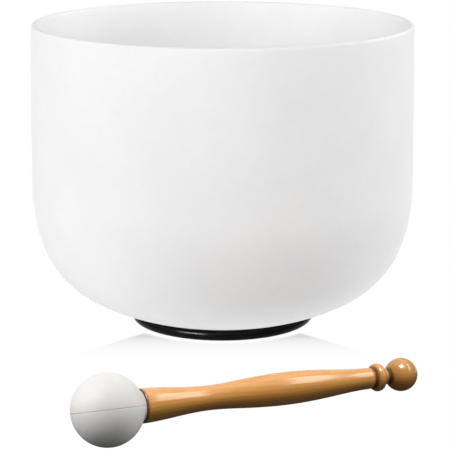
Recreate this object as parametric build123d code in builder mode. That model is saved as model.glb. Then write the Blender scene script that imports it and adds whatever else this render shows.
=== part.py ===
from build123d import *
import os
from math import asin, cos, radians, sin, sqrt

# A frosted quartz singing bowl standing on a rubber O-ring, with its mallet lying in front of it.
# The mallet is a rubber ball on a turned wooden handle, held by a double-ended screw.
# Millimetres, +Z up. The origin is the centre of the O-ring's foot, on the table under the bowl.

# Bowl: a 12 inch rim. The outside runs flat, dome, shoulder, waist and wall, each tangent to the next.
RIM_RADIUS = 152.4
BELLY_RADIUS = 153.8  # widest, just below half height
RIM_HEIGHT = 243.3  # of the rim above the table
DOME_RADIUS, DOME_TURN = 165.0, 28.8
SHOULDER_RADIUS, SHOULDER_TURN = 77.0, 41.8
WAIST_RADIUS = 136.5  # turns what is left of the quarter turn
BASE_WALL = 5.5  # bottom to belly
RIM_WALL = 4.5
RIM_ROUND = 1.9  # fire-polished edges of the rim

# O-ring: round cord, pressed flat where it stands on the table
RING_RADIUS = 69.8  # of the middle of the cord
CORD_RADIUS = 4.2
FOOT_WIDTH = 2.4  # of the flat on the table
SEAT_GAP = 0.12  # bowl above ring, so that the two never overlap

# Mallet: distances along the handle are measured from the middle of the rubber ball
BALL_RADIUS = 25.0
BOSS_RADIUS, BOSS_END = 11.3, 23.9  # short flat-faced boss of the ball, glued to the handle
TIP_RADIUS = 12.1  # wooden ball at the far end
TIP_DISTANCE = 239.5
BALL_PLACE = (-76.5, -322.1)  # on the table, under the middle of the rubber ball
HEADING = 30.6  # of the handle, from +X towards +Y
PARTING_TILT = 18.5  # of the mould's parting plane, about the handle
PARTING_WIDTH, PARTING_DEPTH = 0.5, 0.25  # of the fine groove at the parting plane
GLUE = 0.1  # between the ball's boss and the handle's flat end
END_RADIUS, EDGE_ROUND = 11.9, 0.9  # of the handle's flat end, where the shank begins

# Handle outline as (distance, radius): shank, then groove, bead, collar and neck before the tip
SHANK = [(46, 10.6), (77, 8.55), (104, 9.97), (140, 11.55), (176, 9.87), (210, 7.65)]
LIP = (212.6, 7.4)
GROOVE = (213.6, 6.6)
BEAD_START, BEAD_TOP, BEAD_END = (214.4, 7.3), (218.4, 10.1), (222.3, 6.4)
COLLAR_START, COLLAR_TOP, COLLAR_END = (222.6, 5.7), (224.1, 6.1), (225.6, 5.6)
NECK_RADIUS = 4.5

# Screw between the ball and the handle: two ridged ends and a plain middle
SCREW_START, SCREW_END = 6.0, 50.0
POINT = 1.5  # past each of them
SCREW_CREST, SCREW_ROOT = 3.0, 2.3
PLAIN_START, PLAIN_END = 22.0, 30.0
RIDGE_PITCH = 2.0
HOLE_RADIUS = 2.6  # the ridges bite into the rubber and the wood
HOLE_SPARE = 2.5  # past each end of the screw

os.makedirs("parts", exist_ok=True)

# The bowl rests where its dome is tangent to the ring's cord
cord_height = sqrt(CORD_RADIUS**2 - (FOOT_WIDTH / 2) ** 2)
dome_slope, shoulder_slope = radians(DOME_TURN), radians(DOME_TURN + SHOULDER_TURN)
flat_radius = (
    BELLY_RADIUS
    - DOME_RADIUS * sin(dome_slope)
    - SHOULDER_RADIUS * (sin(shoulder_slope) - sin(dome_slope))
    - WAIST_RADIUS * (1 - sin(shoulder_slope))
)
seat_distance = DOME_RADIUS + CORD_RADIUS + SEAT_GAP
bowl_bottom = cord_height - DOME_RADIUS + sqrt(seat_distance**2 - (RING_RADIUS - flat_radius) ** 2)


def bowl_side(bottom, inset, rim_radius):
    """One side of the bowl's wall, from the axis to the rim, inset from the outside."""
    waist_turn = 90 - DOME_TURN - SHOULDER_TURN
    flat = Line((0, bottom), (flat_radius, bottom))
    dome = JernArc(flat @ 1, (1, 0), DOME_RADIUS - inset, DOME_TURN)
    shoulder = JernArc(dome @ 1, dome % 1, SHOULDER_RADIUS - inset, SHOULDER_TURN)
    waist = JernArc(shoulder @ 1, shoulder % 1, WAIST_RADIUS - inset, waist_turn)
    return TangentArc(waist @ 1, (rim_radius, RIM_HEIGHT), tangent=waist % 1)


with BuildPart() as bowl:
    with BuildSketch(Plane.XZ) as wall:
        with BuildLine():
            outside = bowl_side(bowl_bottom, 0, RIM_RADIUS)
            inside = bowl_side(bowl_bottom + BASE_WALL, BASE_WALL, RIM_RADIUS - RIM_WALL)
            Line(outside @ 1, inside @ 1)
            Line((0, bowl_bottom), (0, bowl_bottom + BASE_WALL))
        make_face()
        rim_corners = wall.vertices().group_by(Axis.Y)[-1]
        fillet(rim_corners, RIM_ROUND)
    revolve(axis=Axis.Z)
bowl.part.label = "bowl"
export_step(bowl.part, "parts/bowl.step")

with BuildPart() as o_ring:
    with BuildSketch(Plane.XZ):
        with Locations((RING_RADIUS, cord_height)):
            Circle(CORD_RADIUS)
        with Locations((RING_RADIUS, 0)):
            Rectangle(2 * CORD_RADIUS, CORD_RADIUS, align=(Align.CENTER, Align.MAX), mode=Mode.SUBTRACT)
    revolve(axis=Axis.Z)
o_ring.part.label = "o_ring"
export_step(o_ring.part, "parts/o_ring.step")

# The mallet leans on its two balls, so the handle falls away from the larger one
fall = asin((BALL_RADIUS - TIP_RADIUS) / TIP_DISTANCE)
heading = radians(HEADING)
handle_direction = Vector(cos(fall) * cos(heading), cos(fall) * sin(heading), -sin(fall))
ball_centre = Vector(*BALL_PLACE, BALL_RADIUS)
mallet_axis = Axis(ball_centre, handle_direction)
# Outlines are drawn with x along the handle and y out from it, cross-sections square to it
outline_plane = Plane(ball_centre, x_dir=handle_direction, z_dir=handle_direction.cross(Vector(0, 0, 1)))
section_plane = Plane(ball_centre, x_dir=outline_plane.y_dir, z_dir=handle_direction)
parting_normal = outline_plane.y_dir.rotate(mallet_axis, -PARTING_TILT)
parting_plane = Plane(ball_centre, x_dir=handle_direction, z_dir=handle_direction.cross(parting_normal))
UPRIGHT = (Align.CENTER, Align.CENTER, Align.MIN)  # cylinders stand on their plane


def screw_hole(start, end):
    """The screw's pilot hole, cut between two distances along the handle."""
    with Locations(section_plane.offset(end)):
        Hole(HOLE_RADIUS, end - start)


def ridges(start, end):
    """Outline points of the screw's ridges between two distances along the handle."""
    count = int((end - start) / RIDGE_PITCH)
    points = [(start, SCREW_ROOT)]
    for i in range(count):
        points.append((start + (i + 0.5) * RIDGE_PITCH, SCREW_CREST))
        points.append((start + (i + 1) * RIDGE_PITCH, SCREW_ROOT))
    return points


with BuildPart() as mallet_ball:
    with BuildSketch(parting_plane):
        with BuildLine():
            CenterArc((0, 0), BALL_RADIUS, -90, 180)
            Line((0, -BALL_RADIUS), (0, BALL_RADIUS))
        make_face()
        with Locations((BALL_RADIUS - PARTING_DEPTH, 0)):
            Rectangle(
                2 * PARTING_DEPTH, PARTING_WIDTH, align=(Align.MIN, Align.CENTER), mode=Mode.SUBTRACT
            )
    revolve(axis=Axis(ball_centre, parting_normal))
    # the boss stands out at its edge, and its flat face takes off the ball's own cap
    with Locations(section_plane):
        Cylinder(BOSS_RADIUS, BOSS_END, align=UPRIGHT)
    with Locations(section_plane.offset(BOSS_END)):
        Cylinder(BOSS_RADIUS, BALL_RADIUS, align=UPRIGHT, mode=Mode.SUBTRACT)
    screw_hole(SCREW_START - HOLE_SPARE, BOSS_END)
mallet_ball.part.label = "mallet_ball"
export_step(mallet_ball.part, "parts/mallet_ball.step")

with BuildPart() as mallet_handle:
    handle_end = BOSS_END + GLUE
    shank_start = (handle_end + EDGE_ROUND, END_RADIUS)
    neck_end = (TIP_DISTANCE - sqrt(TIP_RADIUS**2 - NECK_RADIUS**2), NECK_RADIUS)
    tip_end = (TIP_DISTANCE + TIP_RADIUS, 0)
    with BuildSketch(outline_plane):
        with BuildLine():
            face = Line((handle_end, 0), (handle_end, END_RADIUS - EDGE_ROUND))
            TangentArc(face @ 1, shank_start, tangent=(0, 1))
            Spline(shank_start, *SHANK, tangents=((1, 0), (1, 0)))
            Polyline(SHANK[-1], LIP, GROOVE, BEAD_START)
            ThreePointArc(BEAD_START, BEAD_TOP, BEAD_END)
            Line(BEAD_END, COLLAR_START)
            ThreePointArc(COLLAR_START, COLLAR_TOP, COLLAR_END)
            Line(COLLAR_END, neck_end)
            ThreePointArc(neck_end, (TIP_DISTANCE, TIP_RADIUS), tip_end)
            Line(tip_end, (handle_end, 0))
        make_face()
    revolve(axis=mallet_axis)
    screw_hole(handle_end, SCREW_END + HOLE_SPARE)
mallet_handle.part.label = "mallet_handle"
export_step(mallet_handle.part, "parts/mallet_handle.step")

with BuildPart() as mallet_screw:
    with BuildSketch(outline_plane):
        with BuildLine():
            Polyline(
                (SCREW_START - POINT, 0),
                *ridges(SCREW_START, PLAIN_START),
                (PLAIN_START, HOLE_RADIUS),
                (PLAIN_END, HOLE_RADIUS),
                *ridges(PLAIN_END, SCREW_END),
                (SCREW_END + POINT, 0),
                close=True,
            )
        make_face()
    revolve(axis=mallet_axis)
mallet_screw.part.label = "mallet_screw"
export_step(mallet_screw.part, "parts/mallet_screw.step")
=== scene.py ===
from math import acos, asin, atan2, cos, pi, radians, sin, sqrt, tau

import bpy
import numpy as np
from mathutils import Matrix, Vector


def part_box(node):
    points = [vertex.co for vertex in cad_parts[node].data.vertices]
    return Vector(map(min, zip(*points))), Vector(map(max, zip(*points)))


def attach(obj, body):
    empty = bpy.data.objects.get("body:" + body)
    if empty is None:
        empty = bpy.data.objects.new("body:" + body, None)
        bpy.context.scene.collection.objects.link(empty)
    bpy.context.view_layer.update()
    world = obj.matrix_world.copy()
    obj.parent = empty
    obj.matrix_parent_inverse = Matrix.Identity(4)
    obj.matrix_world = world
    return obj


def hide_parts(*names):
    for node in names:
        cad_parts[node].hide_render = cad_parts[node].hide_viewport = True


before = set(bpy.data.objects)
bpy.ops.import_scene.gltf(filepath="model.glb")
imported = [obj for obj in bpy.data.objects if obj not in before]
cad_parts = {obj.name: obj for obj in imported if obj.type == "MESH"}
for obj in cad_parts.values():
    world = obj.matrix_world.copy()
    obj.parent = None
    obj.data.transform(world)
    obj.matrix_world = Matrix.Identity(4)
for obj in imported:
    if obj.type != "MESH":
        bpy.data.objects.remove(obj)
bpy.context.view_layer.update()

# A frosted quartz singing bowl on its rubber O-ring, with a rubber and wood mallet in front of it.
# Metres, +Z up, in the frame of the CAD model. Each visible CAD node is replaced by a finer mesh of
# the same shape, built here from the same driving dimensions and from the nodes' boxes.

MM = 0.001

# ---------------------------------------------------------------- driving dimensions
bowl_low, bowl_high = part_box("bowl")
_, ring_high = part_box("o_ring")
ball_low, ball_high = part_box("mallet_ball")
handle_low, handle_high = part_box("mallet_handle")

BELLY_RADIUS = bowl_high.x
RIM_HEIGHT = bowl_high.z
BOWL_BOTTOM = bowl_low.z
RIM_RADIUS = BELLY_RADIUS - 1.4 * MM
DOME_RADIUS, DOME_TURN = 165.0 * MM, radians(28.8)
SHOULDER_RADIUS, SHOULDER_TURN = 77.0 * MM, radians(41.8)
WAIST_RADIUS = 136.5 * MM
BASE_WALL, RIM_WALL, RIM_ROUND = 5.5 * MM, 4.5 * MM, 1.9 * MM

CORD_RADIUS, FOOT_WIDTH = 4.2 * MM, 2.4 * MM
RING_RADIUS = ring_high.x - CORD_RADIUS
FLASH_HEIGHT, FLASH_WIDTH = 0.1 * MM, 0.35 * MM  # the fine line that the mould leaves on the ring

BALL_RADIUS = (ball_high.z - ball_low.z) / 2
BALL_CENTRE = ball_low + Vector((BALL_RADIUS, BALL_RADIUS, BALL_RADIUS))
PARTING_TILT = radians(18.5)
PARTING_WIDTH, PARTING_DEPTH = 0.5 * MM, 0.25 * MM
TIP_RADIUS = 12.1 * MM
TIP_CENTRE = Vector((handle_high.x - TIP_RADIUS, handle_high.y - TIP_RADIUS, handle_low.z + TIP_RADIUS))
TIP_DISTANCE = (TIP_CENTRE - BALL_CENTRE).length
BOSS_RADIUS, BOSS_END, BOSS_ROUND = 11.3 * MM, 23.9 * MM, 0.5 * MM
GLUE, END_RADIUS, EDGE_ROUND = 0.1 * MM, 11.9 * MM, 0.9 * MM
HOLE_RADIUS, HOLE_END = 2.6 * MM, 52.5 * MM


def mm(*numbers):
    """Numbers given in millimetres, in metres."""
    return tuple(number * MM for number in numbers)


# The handle's outline as (distance from the ball's middle, radius): shank, groove, bead, collar, neck
SHANK = [mm(46, 10.6), mm(77, 8.55), mm(104, 9.97), mm(140, 11.55), mm(176, 9.87), mm(210, 7.65)]
LIP, GROOVE = mm(212.6, 7.4), mm(213.6, 6.6)
BEAD_START, BEAD_TOP, BEAD_END = mm(214.4, 7.3), mm(218.4, 10.1), mm(222.3, 6.4)
COLLAR_START, COLLAR_TOP, COLLAR_END = mm(222.6, 5.7), mm(224.1, 6.1), mm(225.6, 5.6)
NECK_RADIUS = 4.5 * MM

AROUND = 256  # corners round a body of revolution

# ---------------------------------------------------------------- outlines


def turn(start, direction, radius, angle, steps):
    """Points of an arc that leaves start along direction (an angle) and turns left by angle."""
    side = 1 if angle > 0 else -1
    centre = (start[0] - side * radius * sin(direction), start[1] + side * radius * cos(direction))
    points = []
    for i in range(1, steps + 1):
        a = direction - side * pi / 2 + angle * i / steps
        points.append((centre[0] + radius * cos(a), centre[1] + radius * sin(a)))
    return points


def arc_through(a, b, c, steps):
    """Points of the circle from a through b to c, without a itself."""
    (ax, ay), (bx, by), (cx, cy) = a, b, c
    d = 2 * (ax * (by - cy) + bx * (cy - ay) + cx * (ay - by))
    a2, b2, c2 = ax * ax + ay * ay, bx * bx + by * by, cx * cx + cy * cy
    ox = (a2 * (by - cy) + b2 * (cy - ay) + c2 * (ay - by)) / d
    oy = (a2 * (cx - bx) + b2 * (ax - cx) + c2 * (bx - ax)) / d
    radius = sqrt((ax - ox) ** 2 + (ay - oy) ** 2)
    first, middle, last = (atan2(y - oy, x - ox) for x, y in (a, b, c))
    sweep = (last - first) % tau
    if (middle - first) % tau > sweep:
        sweep -= tau
    return [
        (ox + radius * cos(first + sweep * i / steps), oy + radius * sin(first + sweep * i / steps))
        for i in range(1, steps + 1)
    ]


def straight(a, b, steps):
    """Points of the line from a to b, without a itself."""
    run, rise = b[0] - a[0], b[1] - a[1]
    return [(a[0] + run * i / steps, a[1] + rise * i / steps) for i in range(1, steps + 1)]


def smooth_curve(points, steps):
    """Points of the cubic spline through points that starts and ends level, without the first.

    The tangents at the points are those that make the curve's second derivative continuous.
    """
    p = np.array(points, float)
    t = np.concatenate([[0], np.cumsum(np.hypot(*np.diff(p, axis=0).T))])
    h, slope = np.diff(t), np.diff(p, axis=0) / np.diff(t)[:, None]
    count = len(p)
    matrix, right = np.zeros((count, count)), np.zeros((count, 2))
    matrix[0, 0] = matrix[-1, -1] = 1
    right[0] = right[-1] = (1, 0)
    for i in range(1, count - 1):
        matrix[i, i - 1 : i + 2] = h[i], 2 * (h[i - 1] + h[i]), h[i - 1]
        right[i] = 3 * (h[i] * slope[i - 1] + h[i - 1] * slope[i])
    tangent = np.linalg.solve(matrix, right)
    out = []
    for i in range(count - 1):
        for k in range(1, steps + 1):
            u = k / steps
            a, b = (1 + 2 * u) * (1 - u) ** 2, u * u * (3 - 2 * u)
            c, d = u * (1 - u) ** 2, u * u * (u - 1)
            out.append(tuple(a * p[i] + b * p[i + 1] + h[i] * (c * tangent[i] + d * tangent[i + 1])))
    return out


def bowl_side(bottom, inset, rim_radius):
    """One side of the bowl's wall as (radius, height) from the axis to the rim."""
    slope = DOME_TURN + SHOULDER_TURN
    flat = (
        BELLY_RADIUS
        - DOME_RADIUS * sin(DOME_TURN)
        - SHOULDER_RADIUS * (sin(slope) - sin(DOME_TURN))
        - WAIST_RADIUS * (1 - sin(slope))
    )
    points = [(0, bottom)] + straight((0, bottom), (flat, bottom), 6)
    points += turn(points[-1], 0, DOME_RADIUS - inset, DOME_TURN, 18)
    points += turn(points[-1], DOME_TURN, SHOULDER_RADIUS - inset, SHOULDER_TURN, 28)
    points += turn(points[-1], slope, WAIST_RADIUS - inset, pi / 2 - slope, 16)
    belly = points[-1]
    rise, lean = RIM_HEIGHT - belly[1], belly[0] - rim_radius
    wall_radius = (rise * rise + lean * lean) / (2 * lean)
    points += turn(belly, pi / 2, wall_radius, asin(rise / wall_radius), 40)
    return points


def bowl_outline():
    """The closed outline of the bowl's wall, from the axis outside, over the rim and back inside."""
    outside = bowl_side(BOWL_BOTTOM, 0, RIM_RADIUS)
    inside = bowl_side(BOWL_BOTTOM + BASE_WALL, BASE_WALL, RIM_RADIUS - RIM_WALL)
    top = RIM_HEIGHT - RIM_ROUND  # where the rounding of the rim starts
    wall_end = top - 0.5 * MM
    outside = [p for p in outside if p[1] < wall_end]
    inside = [p for p in inside if p[1] < wall_end]
    rim = [(RIM_RADIUS, top)]
    rim += turn(rim[-1], pi / 2, RIM_ROUND, pi / 2, 10)
    rim += straight(rim[-1], (RIM_RADIUS - RIM_WALL + RIM_ROUND, RIM_HEIGHT), 2)
    rim += turn(rim[-1], pi, RIM_ROUND, pi / 2, 10)
    return outside + rim + inside[::-1]


def ring_outline():
    """The closed outline of the O-ring's cord, flat where it stands, with a fine mould line."""
    height = sqrt(CORD_RADIUS**2 - (FOOT_WIDTH / 2) ** 2)
    foot = asin(FOOT_WIDTH / 2 / CORD_RADIUS)
    points = []
    steps = 96
    for i in range(steps + 1):
        a = -pi / 2 + foot + (tau - 2 * foot) * i / steps
        r = CORD_RADIUS + FLASH_HEIGHT * max(0.0, 1 - abs(sin(a)) * CORD_RADIUS / FLASH_WIDTH * 2)
        points.append((RING_RADIUS + r * cos(a), height + r * sin(a)))
    return points + straight(points[-1], points[0], 4)[:-1]


def ball_outline():
    """Half the ball as (radius, height) over its parting plane, with the parting groove."""
    half = PARTING_WIDTH / 2
    points = []
    steps = 140
    for i in range(steps + 1):
        a = -pi / 2 + pi * i / steps
        if abs(sin(a)) * BALL_RADIUS > 1.6 * half:
            points.append((BALL_RADIUS * cos(a), BALL_RADIUS * sin(a)))
    lower_side = [(-1.2, -0.03), (-0.9, -0.15), (-0.5, -0.85)]  # shares of the half width and the depth
    upper_side = [(-offset, depth) for offset, depth in reversed(lower_side)]
    groove = [
        (BALL_RADIUS + depth * PARTING_DEPTH, offset * half)
        for offset, depth in [*lower_side, (0, -1), *upper_side]
    ]
    below = [p for p in points if p[1] < 0]
    return below + groove + [p for p in points if p[1] > 0]


def boss_outline():
    """The ball's boss as (radius, distance), from inside the ball out to its flat face."""
    sunk = 4 * MM  # of the boss into the ball
    root = sqrt(BALL_RADIUS**2 - BOSS_RADIUS**2) - sunk
    points = [(0, root)] + straight((0, root), (BOSS_RADIUS, root), 4)
    points += straight(points[-1], (BOSS_RADIUS, BOSS_END - BOSS_ROUND), 6)
    points += turn(points[-1], pi / 2, BOSS_ROUND, pi / 2, 6)
    return points + straight(points[-1], (0, BOSS_END), 6)


def handle_outline():
    """The handle's outline as (radius, distance), from the bottom of its screw hole round to its tip."""
    end = BOSS_END + GLUE
    points = [(HOLE_END, 0)] + straight((HOLE_END, 0), (HOLE_END, HOLE_RADIUS), 3)
    points += straight(points[-1], (end, HOLE_RADIUS), 12)
    points += straight(points[-1], (end, END_RADIUS - EDGE_ROUND), 8)
    points += turn(points[-1], pi / 2, EDGE_ROUND, -pi / 2, 8)
    points += smooth_curve([points[-1], *SHANK], 20)
    points += straight(points[-1], LIP, 3) + straight(LIP, GROOVE, 3) + straight(GROOVE, BEAD_START, 3)
    points += arc_through(BEAD_START, BEAD_TOP, BEAD_END, 28)
    points += straight(BEAD_END, COLLAR_START, 2)
    points += arc_through(COLLAR_START, COLLAR_TOP, COLLAR_END, 12)
    tip_start = TIP_DISTANCE - sqrt(TIP_RADIUS**2 - NECK_RADIUS**2)
    points += straight(COLLAR_END, (tip_start, NECK_RADIUS), 5)
    around_tip, steps = acos((tip_start - TIP_DISTANCE) / TIP_RADIUS), 60
    for i in range(1, steps + 1):
        a = around_tip * (1 - i / steps)
        points.append((TIP_DISTANCE + TIP_RADIUS * cos(a), TIP_RADIUS * sin(a)))
    return [(r, s) for s, r in points]


# ---------------------------------------------------------------- meshes


def revolved(name, outline, place, closed, around=AROUND):
    """A closed mesh turned from an outline of (radius, height) about the z axis of place."""
    on_axis = [r < 1e-9 for r, _ in outline]
    verts, first = [], []
    for (r, z), pole in zip(outline, on_axis):
        first.append(len(verts))
        if pole:
            verts.append(place @ Vector((0, 0, z)))
            continue
        for k in range(around):
            a = tau * k / around
            verts.append(place @ Vector((r * cos(a), r * sin(a), z)))
    pairs = list(zip(range(len(outline)), range(1, len(outline))))
    if closed:
        pairs.append((len(outline) - 1, 0))
    faces = []
    for i, j in pairs:
        for k in range(around):
            m = (k + 1) % around
            a, b = first[i] + (0 if on_axis[i] else k), first[i] + (0 if on_axis[i] else m)
            c, d = first[j] + (0 if on_axis[j] else m), first[j] + (0 if on_axis[j] else k)
            if on_axis[i]:
                faces.append((a, c, d))
            elif on_axis[j]:
                faces.append((a, b, d))
            else:
                faces.append((a, b, c, d))
    mesh = bpy.data.meshes.new(name)
    mesh.from_pydata([tuple(v) for v in verts], [], faces)
    mesh.validate()
    piece = bpy.data.objects.new(name, mesh)
    bpy.context.scene.collection.objects.link(piece)
    mesh.shade_smooth()
    return piece


def cut(piece, other, operation):
    """Joins other to piece, or takes it away, and leaves one closed mesh."""
    modifier = piece.modifiers.new("cut", "BOOLEAN")
    modifier.operation, modifier.solver, modifier.object = operation, "EXACT", other
    bpy.context.view_layer.update()
    mesh = bpy.data.meshes.new_from_object(piece.evaluated_get(bpy.context.evaluated_depsgraph_get()))
    piece.modifiers.clear()
    piece.data = mesh
    bpy.data.objects.remove(other)


def finished(piece, body, node, material):
    """Gives a piece its body, the CAD node it stands for and its material."""
    piece.data.set_sharp_from_angle(angle=radians(40))
    piece.data.materials.clear()
    piece.data.materials.append(material)
    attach(piece, body)
    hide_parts(node)


# ---------------------------------------------------------------- materials


class Nodes:
    """A material with a Principled shader, and short ways to add nodes to it."""

    def __init__(self, name):
        self.material = bpy.data.materials.new(name)
        self.material.use_nodes = True
        self.tree = self.material.node_tree
        self.shader = self.tree.nodes["Principled BSDF"]

    def add(self, kind, inputs=None, **settings):
        """A new node of that kind, with its inputs set or linked."""
        node = self.tree.nodes.new("ShaderNode" + kind)
        for key, value in settings.items():
            setattr(node, key, value)
        for key, value in (inputs or {}).items():
            self.put(node.inputs[key], value)
        return node

    def put(self, socket, value):
        """Links value to the socket if it is another socket, or sets it there."""
        if isinstance(value, bpy.types.NodeSocket):
            self.tree.links.new(value, socket)
        else:
            socket.default_value = value

    def set(self, **values):
        """Puts values on the shader's own sockets, named with _ for a space."""
        for key, value in values.items():
            self.put(self.shader.inputs[key.replace("_", " ")], value)

    def place(self, matrix=None, stretch=(1, 1, 1)):
        """Coordinates in metres, in the row frame or in the frame of matrix, each axis stretched."""
        socket = self.add("TexCoord").outputs["Object"]
        if matrix is not None:
            inverse = matrix.inverted()
            turned = {"Vector": socket, "Rotation": inverse.to_euler(), "Location": inverse.translation}
            socket = self.add("Mapping", turned).outputs[0]
        if stretch != (1, 1, 1):
            socket = self.add("Mapping", {"Vector": socket, "Scale": stretch}).outputs[0]
        return socket

    def noise(self, at, size, detail=3.0, roughness=0.5, distortion=0.0):
        """Noise from 0 to 1 whose lumps are about size metres wide."""
        values = {"Vector": at, "Scale": 1 / size, "Detail": detail}
        values |= {"Roughness": roughness, "Distortion": distortion}
        return self.add("TexNoise", values).outputs[0]

    def math(self, operation, a, b=0.0):
        return self.add("Math", {0: a, 1: b}, operation=operation).outputs[0]

    def remap(self, value, low, high, to_low=0.0, to_high=1.0, smooth=False):
        """Value, held between low and high, moved to between to_low and to_high."""
        values = {"Value": value, "From Min": low, "From Max": high, "To Min": to_low, "To Max": to_high}
        kind = "SMOOTHSTEP" if smooth else "LINEAR"
        return self.add("MapRange", values, interpolation_type=kind).outputs[0]

    def mix(self, share, a, b):
        """Colour a with a share of colour b over it."""
        node = self.add("Mix", data_type="RGBA")
        for socket, value in ((node.inputs[0], share), (node.inputs[6], a), (node.inputs[7], b)):
            self.put(socket, value)
        return node.outputs[2]

    def bump(self, height, distance, strength=1.0, normal=None):
        """A normal roughened by height, which is distance deep, on top of another normal."""
        values = {"Height": height, "Distance": distance, "Strength": strength}
        if normal is not None:
            values["Normal"] = normal
        return self.add("Bump", values).outputs[0]

    def axis(self, at, index):
        """One of the three coordinates of at."""
        return self.add("SeparateXYZ", {0: at}).outputs[index]


def shade(value):
    """A grey of that linear brightness."""
    return (value, value, value, 1.0)


def srgb(red, green, blue):
    """A colour given as the 0 to 255 values of a screen, as linear light."""

    def linear(value):
        share = value / 255
        return share / 12.92 if share <= 0.04045 else ((share + 0.055) / 1.055) ** 2.4

    return (linear(red), linear(green), linear(blue), 1.0)


def frosted_quartz():
    """White fused quartz, opaque with tiny bubbles and sugary outside, smoother at the fired rim."""
    n = Nodes("frosted_quartz")
    at = n.place()
    cloud = n.noise(at, 60 * MM, 4.0, 0.55)
    mottle = n.noise(at, 5 * MM, 3.0, 0.6)
    grain = n.noise(at, 0.7 * MM, 2.0, 0.6)
    colour = n.mix(n.remap(cloud, 0.35, 0.65), srgb(243, 243, 244), srgb(247, 247, 247))
    colour = n.mix(n.remap(mottle, 0.35, 0.7, 0.0, 0.25), colour, srgb(238, 239, 240))
    speck = n.remap(n.noise(at, 1.6 * MM, 1.0), 0.70, 0.76, 0.0, 0.5)
    colour = n.mix(speck, colour, srgb(252, 252, 252))
    rim = n.remap(n.axis(at, 2), RIM_HEIGHT - 4 * MM, RIM_HEIGHT - 1 * MM, smooth=True)
    rough = n.remap(n.noise(at, 2.5 * MM, 3.0), 0.3, 0.7, 0.52, 0.66)
    rough = n.math("MULTIPLY", rough, n.remap(rim, 0, 1, 1.0, 0.8))
    fine = n.bump(grain, 0.06 * MM, 0.55)
    waves = n.bump(n.noise(n.place(stretch=(1, 1, 2.5)), 26 * MM, 2.0), 0.5 * MM, 0.12, fine)
    n.set(Base_Color=colour, Roughness=rough, Normal=waves, IOR=1.46)
    n.set(Subsurface_Weight=0.35, Subsurface_Radius=(1.0, 1.0, 1.0), Subsurface_Scale=9 * MM)
    n.set(Sheen_Weight=0.12, Sheen_Roughness=0.5)
    return n.material


def black_rubber():
    """Smooth black nitrile rubber with a little dust and handling bloom."""
    n = Nodes("black_rubber")
    at = n.place()
    bloom = n.noise(at, 14 * MM, 4.0, 0.6)
    colour = n.mix(n.remap(bloom, 0.45, 0.75, 0.0, 0.6), shade(0.0008), shade(0.002))
    dust = n.remap(n.noise(at, 0.9 * MM, 2.0), 0.66, 0.74, 0.0, 0.35)
    colour = n.mix(dust, colour, shade(0.006))
    rough = n.remap(bloom, 0.3, 0.7, 0.17, 0.28)
    skin = n.bump(n.noise(at, 0.8 * MM, 3.0), 0.05 * MM, 0.35)
    n.set(Base_Color=colour, Roughness=rough, Normal=skin, IOR=1.52, Specular_IOR_Level=0.06)
    return n.material


def white_rubber(place):
    """Off-white moulded rubber: a satin skin, faint scuffs, and grime in the parting groove."""
    n = Nodes("white_rubber")
    at = n.place()
    cloud = n.noise(at, 16 * MM, 4.0, 0.55)
    colour = n.mix(n.remap(cloud, 0.3, 0.7), srgb(239, 236, 232), srgb(246, 244, 241))
    scuff = n.noise(n.place(stretch=(1, 1, 3)), 4 * MM, 5.0, 0.7, 0.6)
    colour = n.mix(n.remap(scuff, 0.60, 0.74, 0.0, 0.35), colour, srgb(214, 207, 197))
    height = n.axis(n.place(place), 2)
    seam = n.remap(n.math("ABSOLUTE", height), 0.15 * MM, 0.45 * MM, 0.5, 0.0, smooth=True)
    seam = n.math("MULTIPLY", seam, n.remap(n.noise(at, 7 * MM, 2.0), 0.25, 0.6, 0.45, 1.0))
    colour = n.mix(seam, colour, srgb(190, 182, 172))
    rough = n.remap(n.noise(at, 3 * MM, 4.0), 0.3, 0.7, 0.46, 0.62)
    skin = n.bump(n.noise(at, 0.6 * MM, 3.0, 0.6), 0.05 * MM, 0.4)
    skin = n.bump(n.noise(at, 9 * MM, 2.0), 0.3 * MM, 0.15, skin)
    n.set(Base_Color=colour, Roughness=rough, Normal=skin, IOR=1.48)
    n.set(Subsurface_Weight=0.15, Subsurface_Radius=(1.0, 0.85, 0.7), Subsurface_Scale=2 * MM)
    return n.material


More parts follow.
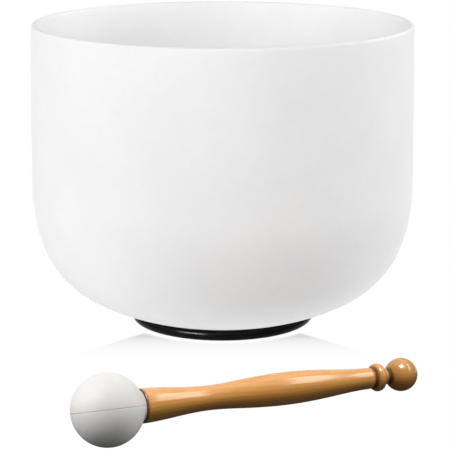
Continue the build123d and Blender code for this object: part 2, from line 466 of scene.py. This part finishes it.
def varnished_wood(place):
    """Honey-stained close-grained hardwood under clear gloss varnish, its grain along the handle."""
    n = Nodes("varnished_wood")
    at = n.place(place)
    # growth rings about a heart that lies beside the handle, so they cut it as long streaks
    drift = n.noise(n.place(place, (1, 1, 0.12)), 14 * MM, 3.0, 0.5)
    flat = n.add("VectorMath", {0: at, 1: (1, 1, 0)}, operation="MULTIPLY").outputs[0]
    heart, ring_width = (31 * MM, 12 * MM, 0), 2.6 * MM
    from_heart = n.add("VectorMath", {0: flat, 1: heart}, operation="DISTANCE").outputs["Value"]
    rings = n.math("ADD", n.math("DIVIDE", from_heart, ring_width), n.math("MULTIPLY", drift, 2.2))
    rings = n.math("FRACT", rings)
    darkening, ending = n.remap(rings, 0.35, 0.95, smooth=True), n.remap(rings, 0.95, 1.0, 1.0, 0.0)
    late = n.math("MULTIPLY", darkening, ending)
    fibre = n.noise(n.place(place, (1, 1, 0.03)), 0.5 * MM, 3.0, 0.6)
    streak = n.noise(n.place(place, (1, 1, 0.04)), 3 * MM, 3.0, 0.55)
    pores = n.noise(n.place(place, (1, 1, 0.06)), 0.35 * MM, 1.0)
    patch = n.noise(n.place(place, (1, 1, 0.35)), 22 * MM, 3.0, 0.5)
    colour = n.mix(n.remap(patch, 0.3, 0.7), srgb(208, 146, 62), srgb(217, 157, 72))
    colour = n.mix(n.remap(streak, 0.35, 0.7, 0.0, 0.5), colour, srgb(206, 134, 50))
    colour = n.mix(n.math("MULTIPLY", late, 0.32), colour, srgb(184, 110, 42))
    colour = n.mix(n.remap(fibre, 0.45, 0.75, 0.0, 0.36), colour, srgb(188, 115, 46))
    colour = n.mix(n.remap(pores, 0.68, 0.76, 0.0, 0.45), colour, srgb(140, 80, 32))
    # painted shade in the joint, the grooves and the neck, with some gathered stain and darker end grain
    # on the tip
    painted_shade_and_stain = n.add("Attribute", attribute_name="groove").outputs["Fac"]
    colour = n.mix(n.math("MULTIPLY", painted_shade_and_stain, 0.85), colour, srgb(70, 34, 11))
    rough = n.remap(streak, 0.3, 0.7, 0.30, 0.42)
    grain = n.bump(fibre, 0.05 * MM, 0.3)
    varnish = n.bump(n.noise(n.place(place, (1, 1, 0.5)), 7 * MM, 2.0), 0.15 * MM, 0.2)
    n.set(Base_Color=colour, Roughness=rough, Normal=grain, IOR=1.5)
    n.set(Coat_Weight=1.0, Coat_Roughness=0.12, Coat_IOR=1.5, Coat_Normal=varnish)
    return n.material


def brushed_steel(place):
    """Plain zinc-bright steel with fine turning marks across the screw."""
    n = Nodes("steel")
    lines = n.noise(n.place(place, (0.05, 0.05, 1)), 0.2 * MM, 2.0)
    colour = n.mix(n.remap(lines, 0.3, 0.7), shade(0.42), shade(0.58))
    rough = n.remap(lines, 0.3, 0.7, 0.28, 0.42)
    n.set(Base_Color=colour, Metallic=1.0, Roughness=rough, Normal=n.bump(lines, 0.02 * MM, 0.4))
    return n.material


# ---------------------------------------------------------------- the object

handle_direction = (TIP_CENTRE - BALL_CENTRE).normalized()
across = handle_direction.cross(Vector((0, 0, 1))).normalized()
above = across.cross(handle_direction)
parting_normal = Matrix.Rotation(-PARTING_TILT, 3, handle_direction) @ above
parting_side = parting_normal.cross(handle_direction)


def at_ball(x, y, z):
    """The frame at the middle of the ball with these axes."""
    return Matrix.Translation(BALL_CENTRE) @ Matrix((x, y, z)).transposed().to_4x4()


handle_place = at_ball(above, across, handle_direction)
parting_place = at_ball(handle_direction, parting_side, parting_normal)

bowl = revolved("bowl_shell", bowl_outline(), Matrix.Identity(4), closed=False)
finished(bowl, "vessel", "bowl", frosted_quartz())

ring = revolved("rubber_ring", ring_outline(), Matrix.Identity(4), closed=True)
finished(ring, "base", "o_ring", black_rubber())

ball = revolved("rubber_ball", ball_outline(), parting_place, closed=False, around=192)
# the ball's own cap would stand out of the boss, so it is cut off inside the boss first
cap_start, cap_radius = BOSS_END - 2 * BOSS_ROUND, BOSS_RADIUS - BOSS_ROUND
past_ball = 2 * BALL_RADIUS
cap = [(0, cap_start), (cap_radius, cap_start), (cap_radius, past_ball), (0, past_ball)]
cut(ball, revolved("cap", cap, handle_place, closed=False, around=64), "DIFFERENCE")
cut(ball, revolved("boss", boss_outline(), handle_place, closed=False, around=128), "UNION")
finished(ball, "mallet", "mallet_ball", white_rubber(parting_place))


def darkened(distance):
    """How dark the handle is painted, from 0 to 1, at a distance along it: painted shade in the joint,
    the grooves and the neck with some gathered stain, and darker end grain on the tip.
    """
    fade, most_end_grain = 1.3 * MM, 0.22
    shaded_stretches = [  # stretches painted dark as shade in the joint with the ball, the grooves and the neck, with some gathered glue and stain
        (0, BOSS_END + 1.1 * MM),
        (LIP[0], BEAD_START[0]),
        (BEAD_END[0] - 0.3 * MM, COLLAR_START[0]),
        (COLLAR_END[0] - 0.2 * MM, TIP_DISTANCE - TIP_RADIUS + 1.2 * MM),
    ]
    end_grain = most_end_grain * min(1, max(0, (distance - BEAD_START[0]) / (10 * MM)))
    return max(end_grain, *(1 - max(low - distance, distance - high, 0) / fade for low, high in shaded_stretches))


handle = revolved("wooden_handle", handle_outline(), handle_place, closed=False, around=128)
# the groove attribute holds painted shade with some stain along the handle
groove = handle.data.attributes.new("groove", "FLOAT", "POINT")
inverse = handle_place.inverted()
for i, vertex in enumerate(handle.data.vertices):
    groove.data[i].value = darkened((inverse @ vertex.co).z)
finished(handle, "mallet", "mallet_handle", varnished_wood(handle_place))

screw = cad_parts["mallet_screw"]
screw.data.materials.clear()
screw.data.materials.append(brushed_steel(handle_place))

# ---------------------------------------------------------------- studio


def floor_material():
    """A plain white floor with a faint shade in front of the ring.

    The camera sees it white. Other rays find it bright in front of the bowl, nearly black round the
    mallet and dim beyond, which is how much light comes up from the table on each of them.
    """
    n = Nodes("pale_floor")
    at = n.place()
    side, front = n.math("ABSOLUTE", n.axis(at, 0)), n.axis(at, 1)
    # the shade is darkest beside the ring, fades forwards, and stops at a slant and short of the ring
    most, fade, full = 0.3, 56.0, -36.4 * MM
    fading = n.math("EXPONENT", n.math("MULTIPLY", n.math("SUBTRACT", front, full), fade))
    slant = n.math("ADD", n.math("MULTIPLY", side, 1.15), front)
    corner = n.remap(slant, 20 * MM, 26 * MM, 1.0, 0.0)
    from_middle = n.add("VectorMath", {0: at}, operation="LENGTH").outputs["Value"]
    gap = n.remap(from_middle, ring_high.x + 2.5 * MM, ring_high.x + 7 * MM)
    shaded = n.math("MULTIPLY", n.math("MINIMUM", fading, most), n.math("MULTIPLY", corner, gap))
    n.set(Base_Color=shade(0.01), Roughness=1.0, Specular_IOR_Level=0.0)
    n.set(Emission_Color=shade(1.0), Emission_Strength=n.math("SUBTRACT", 1.0, shaded))
    # the bright part ends in front of the bowl, along the line of the mallet
    mallet_line = n.add("VectorMath", {0: at, 1: (-0.25, 1, 0)}, operation="DOT_PRODUCT").outputs["Value"]
    near = n.remap(mallet_line, -0.13, -0.21, 0.80, 0.0, smooth=True)
    beyond = n.remap(front, -0.44, -0.56, 0.05, 0.36, smooth=True)
    bounce = n.add("Emission", {"Color": shade(1.0), "Strength": n.math("ADD", near, beyond)})
    seen = n.add("LightPath").outputs["Is Camera Ray"]
    both = n.add("MixShader", {0: seen, 1: bounce.outputs[0], 2: n.shader.outputs[0]})
    n.tree.links.new(both.outputs[0], n.tree.nodes["Material Output"].inputs["Surface"])
    return n.material


def lit_by(name, pieces):
    """A collection of the pieces that a set of lights falls on."""
    group = bpy.data.collections.new(name)
    for piece in pieces:
        group.objects.link(piece)
    return group


def area_light(name, pieces, aim, place, size, power, along=(0, 0, 1), shaded_by=None):
    """A softbox at place, facing aim, that lights the pieces.

    Its size is (width, height) in metres with the height along a direction, and its power is in
    watts. If shaded_by is given, only those pieces cast its shadows.
    """
    light = bpy.data.lights.new(name, "AREA")
    light.shape, light.energy = "RECTANGLE", power
    light.size, light.size_y = size
    lamp = bpy.data.objects.new(name, light)
    lamp.location = place
    back = (Vector(place) - Vector(aim)).normalized()
    side = Vector(along).cross(back).normalized()
    lamp.rotation_euler = Matrix((side, back.cross(side), back)).transposed().to_euler()
    lamp.light_linking.receiver_collection = pieces
    lamp.light_linking.blocker_collection = shaded_by
    bpy.context.scene.collection.objects.link(lamp)


FLOOR_HALF = 12.0
corners = [(x * FLOOR_HALF, y * FLOOR_HALF, 0) for x, y in ((-1, -1), (1, -1), (1, 1), (-1, 1))]
floor_mesh = bpy.data.meshes.new("floor")
floor_mesh.from_pydata(corners, [], [(0, 1, 2, 3)])
floor_mesh.materials.append(floor_material())
floor = bpy.data.objects.new("floor", floor_mesh)
bpy.context.scene.collection.objects.link(floor)

WORLD_LIGHT, WORLD_SEEN = 0.3, 1.0  # strength for the pieces, and for the camera
world = bpy.data.worlds.new("studio")
world.use_nodes = True
sky = world.node_tree.nodes["Background"]
light_path = world.node_tree.nodes.new("ShaderNodeLightPath")
strength = world.node_tree.nodes.new("ShaderNodeMapRange")
strength.inputs["To Min"].default_value = WORLD_LIGHT
strength.inputs["To Max"].default_value = WORLD_SEEN
world.node_tree.links.new(light_path.outputs["Is Camera Ray"], strength.inputs["Value"])
world.node_tree.links.new(strength.outputs[0], sky.inputs["Strength"])
sky.inputs["Color"].default_value = shade(1.0)
bpy.context.scene.world = world

# The bowl, the ring, the ball and the handle each have softboxes of their own
on_bowl = lit_by("on_bowl", [bowl])
BOWL_AIM = (0, 0, 0.1)
area_light("bowl_key", on_bowl, BOWL_AIM, place=(-1.6, -1.2, 1.9), size=(1.3, 1.3), power=3)
area_light("bowl_front", on_bowl, BOWL_AIM, place=(0, -2.6, 1.0), size=(1.6, 1.6), power=46)
area_light("bowl_left", on_bowl, BOWL_AIM, place=(-2.1, -0.2, 0.7), size=(1.2, 1.2), power=12)
area_light("bowl_right", on_bowl, BOWL_AIM, place=(2.1, 0.6, 0.6), size=(1.0, 1.0), power=19)
area_light("bowl_back", on_bowl, BOWL_AIM, place=(1.3, 1.6, 1.5), size=(1.4, 1.4), power=16)
area_light("bowl_back_left", on_bowl, BOWL_AIM, place=(-1.5, 1.5, 1.5), size=(1.4, 1.4), power=12)

on_ring = lit_by("on_ring", [ring])
RING_AIM = Vector((-0.033, -0.066, 0.004))  # where the small highlight lies on the ring's front
GLINT = Vector((-0.56, -0.64, 0.527))  # towards the softbox that the highlight reflects
glint_place = RING_AIM + 1.3 * GLINT
area_light("ring_glint", on_ring, RING_AIM, glint_place, size=(0.5, 0.25), power=110, shaded_by=on_ring)

on_ball = lit_by("on_ball", [ball])
on_handle = lit_by("on_handle", [handle, screw])
MALLET_AIM = Vector((0.0, -0.28, 0.02))
above_mallet = MALLET_AIM + Vector((0.21, -0.29, 1.56))
behind_mallet = MALLET_AIM + Vector((0, 0.75, 1.3))
area_light("ball_left", on_ball, MALLET_AIM, place=(-2.1, -0.2, 0.7), size=(1.2, 1.2), power=13.5)
area_light("ball_right", on_ball, MALLET_AIM, place=(2.1, 0.3, 0.7), size=(1.0, 1.0), power=17.5)
area_light("ball_key", on_ball, MALLET_AIM, place=(-1.6, -1.2, 1.9), size=(1.3, 1.3), power=31)
area_light("ball_fill", on_ball, MALLET_AIM, place=(1.7, -1.4, 1.3), size=(1.2, 1.2), power=7)
area_light("ball_top", on_ball, MALLET_AIM, above_mallet, size=(0.9, 0.9), power=5)
area_light("handle_top", on_handle, MALLET_AIM, above_mallet, size=(0.6, 0.6), power=24)
area_light(
    "handle_back", on_handle, MALLET_AIM, behind_mallet, size=(1.6, 1.2), power=5, shaded_by=on_handle
)
GLEAM = Vector((0.698, 0.036, 0.682))  # towards the strip whose reflection runs along the handle
gleam_place = MALLET_AIM + 2.6 * GLEAM + 0.12 * handle_direction
gleam_height = handle_direction.cross(GLEAM)
area_light("handle_gleam", on_handle, MALLET_AIM, gleam_place, (0.5, 2.0), 16, along=gleam_height)

bpy.context.scene.view_settings.view_transform = "Standard"

# ---------------------------------------------------------------- camera

LOOKING_DOWN, TURNED_RIGHT = radians(12.87), radians(0.073)
camera_data = bpy.data.cameras.new("camera")
camera_data.sensor_width, camera_data.lens = 36.0, 160.0
camera = bpy.data.objects.new("camera", camera_data)
camera.location = (0.0, -1.5916, 0.4413)
camera.rotation_euler = (pi / 2 - LOOKING_DOWN, 0.0, -TURNED_RIGHT)
bpy.context.scene.collection.objects.link(camera)
bpy.context.scene.camera = camera
